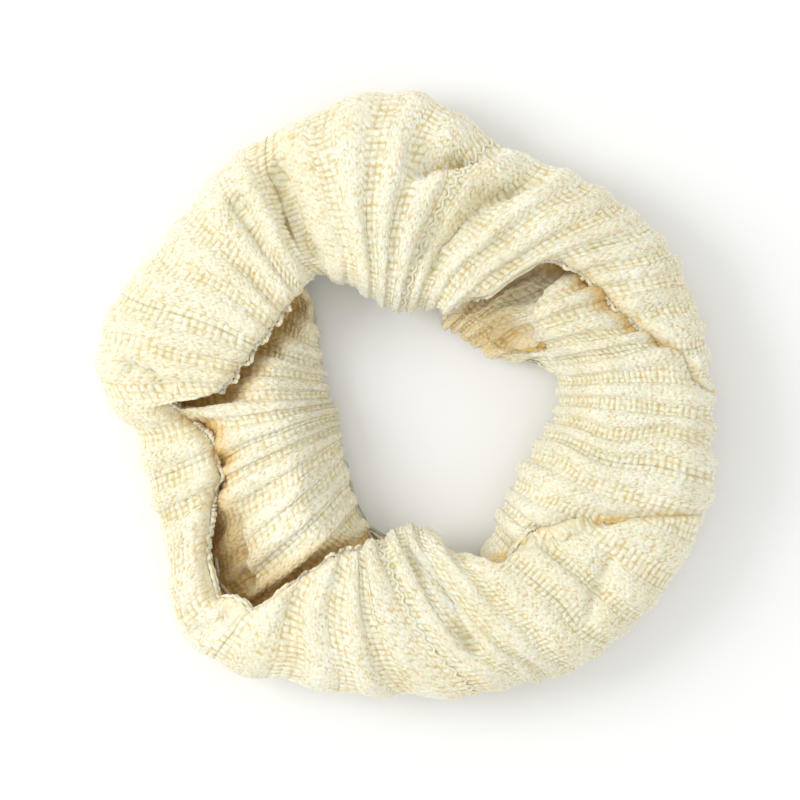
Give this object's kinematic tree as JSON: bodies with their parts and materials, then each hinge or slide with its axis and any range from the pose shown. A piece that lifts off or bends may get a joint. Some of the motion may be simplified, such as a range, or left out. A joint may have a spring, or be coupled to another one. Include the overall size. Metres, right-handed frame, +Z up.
{
  "type": "infinity scarf",
  "caption": "Closed loop of rib-knit cream chenille fabric, rolled into a soft open ring with its free edge turned back in two places; worn round the neck.",
  "frame": {"origin": "middle of the bounding box's underside, on the table", "axes": "+Z up out of the table, +X the longer way across the ring, +Y the shorter way across it"},
  "size_m": [0.3402, 0.3311, 0.0666],
  "materials": {
    "left_knit": "soft chenille rib knit",
    "right_knit": "soft chenille rib knit",
    "edge_yarn": "soft chenille yarn",
    "seam_yarn": "soft chenille yarn"
  },
  "bodies": {
    "left_half": {"left_half_band": "left_knit", "left_cast_on_chain": "edge_yarn", "left_bind_off_chain": "edge_yarn", "rear_seam_yarn": "seam_yarn", "front_seam_yarn": "seam_yarn"},
    "right_half": {"right_half_band": "right_knit", "right_cast_on_chain": "edge_yarn", "right_bind_off_chain": "edge_yarn"}
  },
  "joints": [
    {"name": "neck_stretch", "type": "slide", "parent": "left_half", "child": "right_half", "axis": [1, 0, 0], "range_m": [0, 0.07], "stiffness_N_per_m": 45}
  ]
}
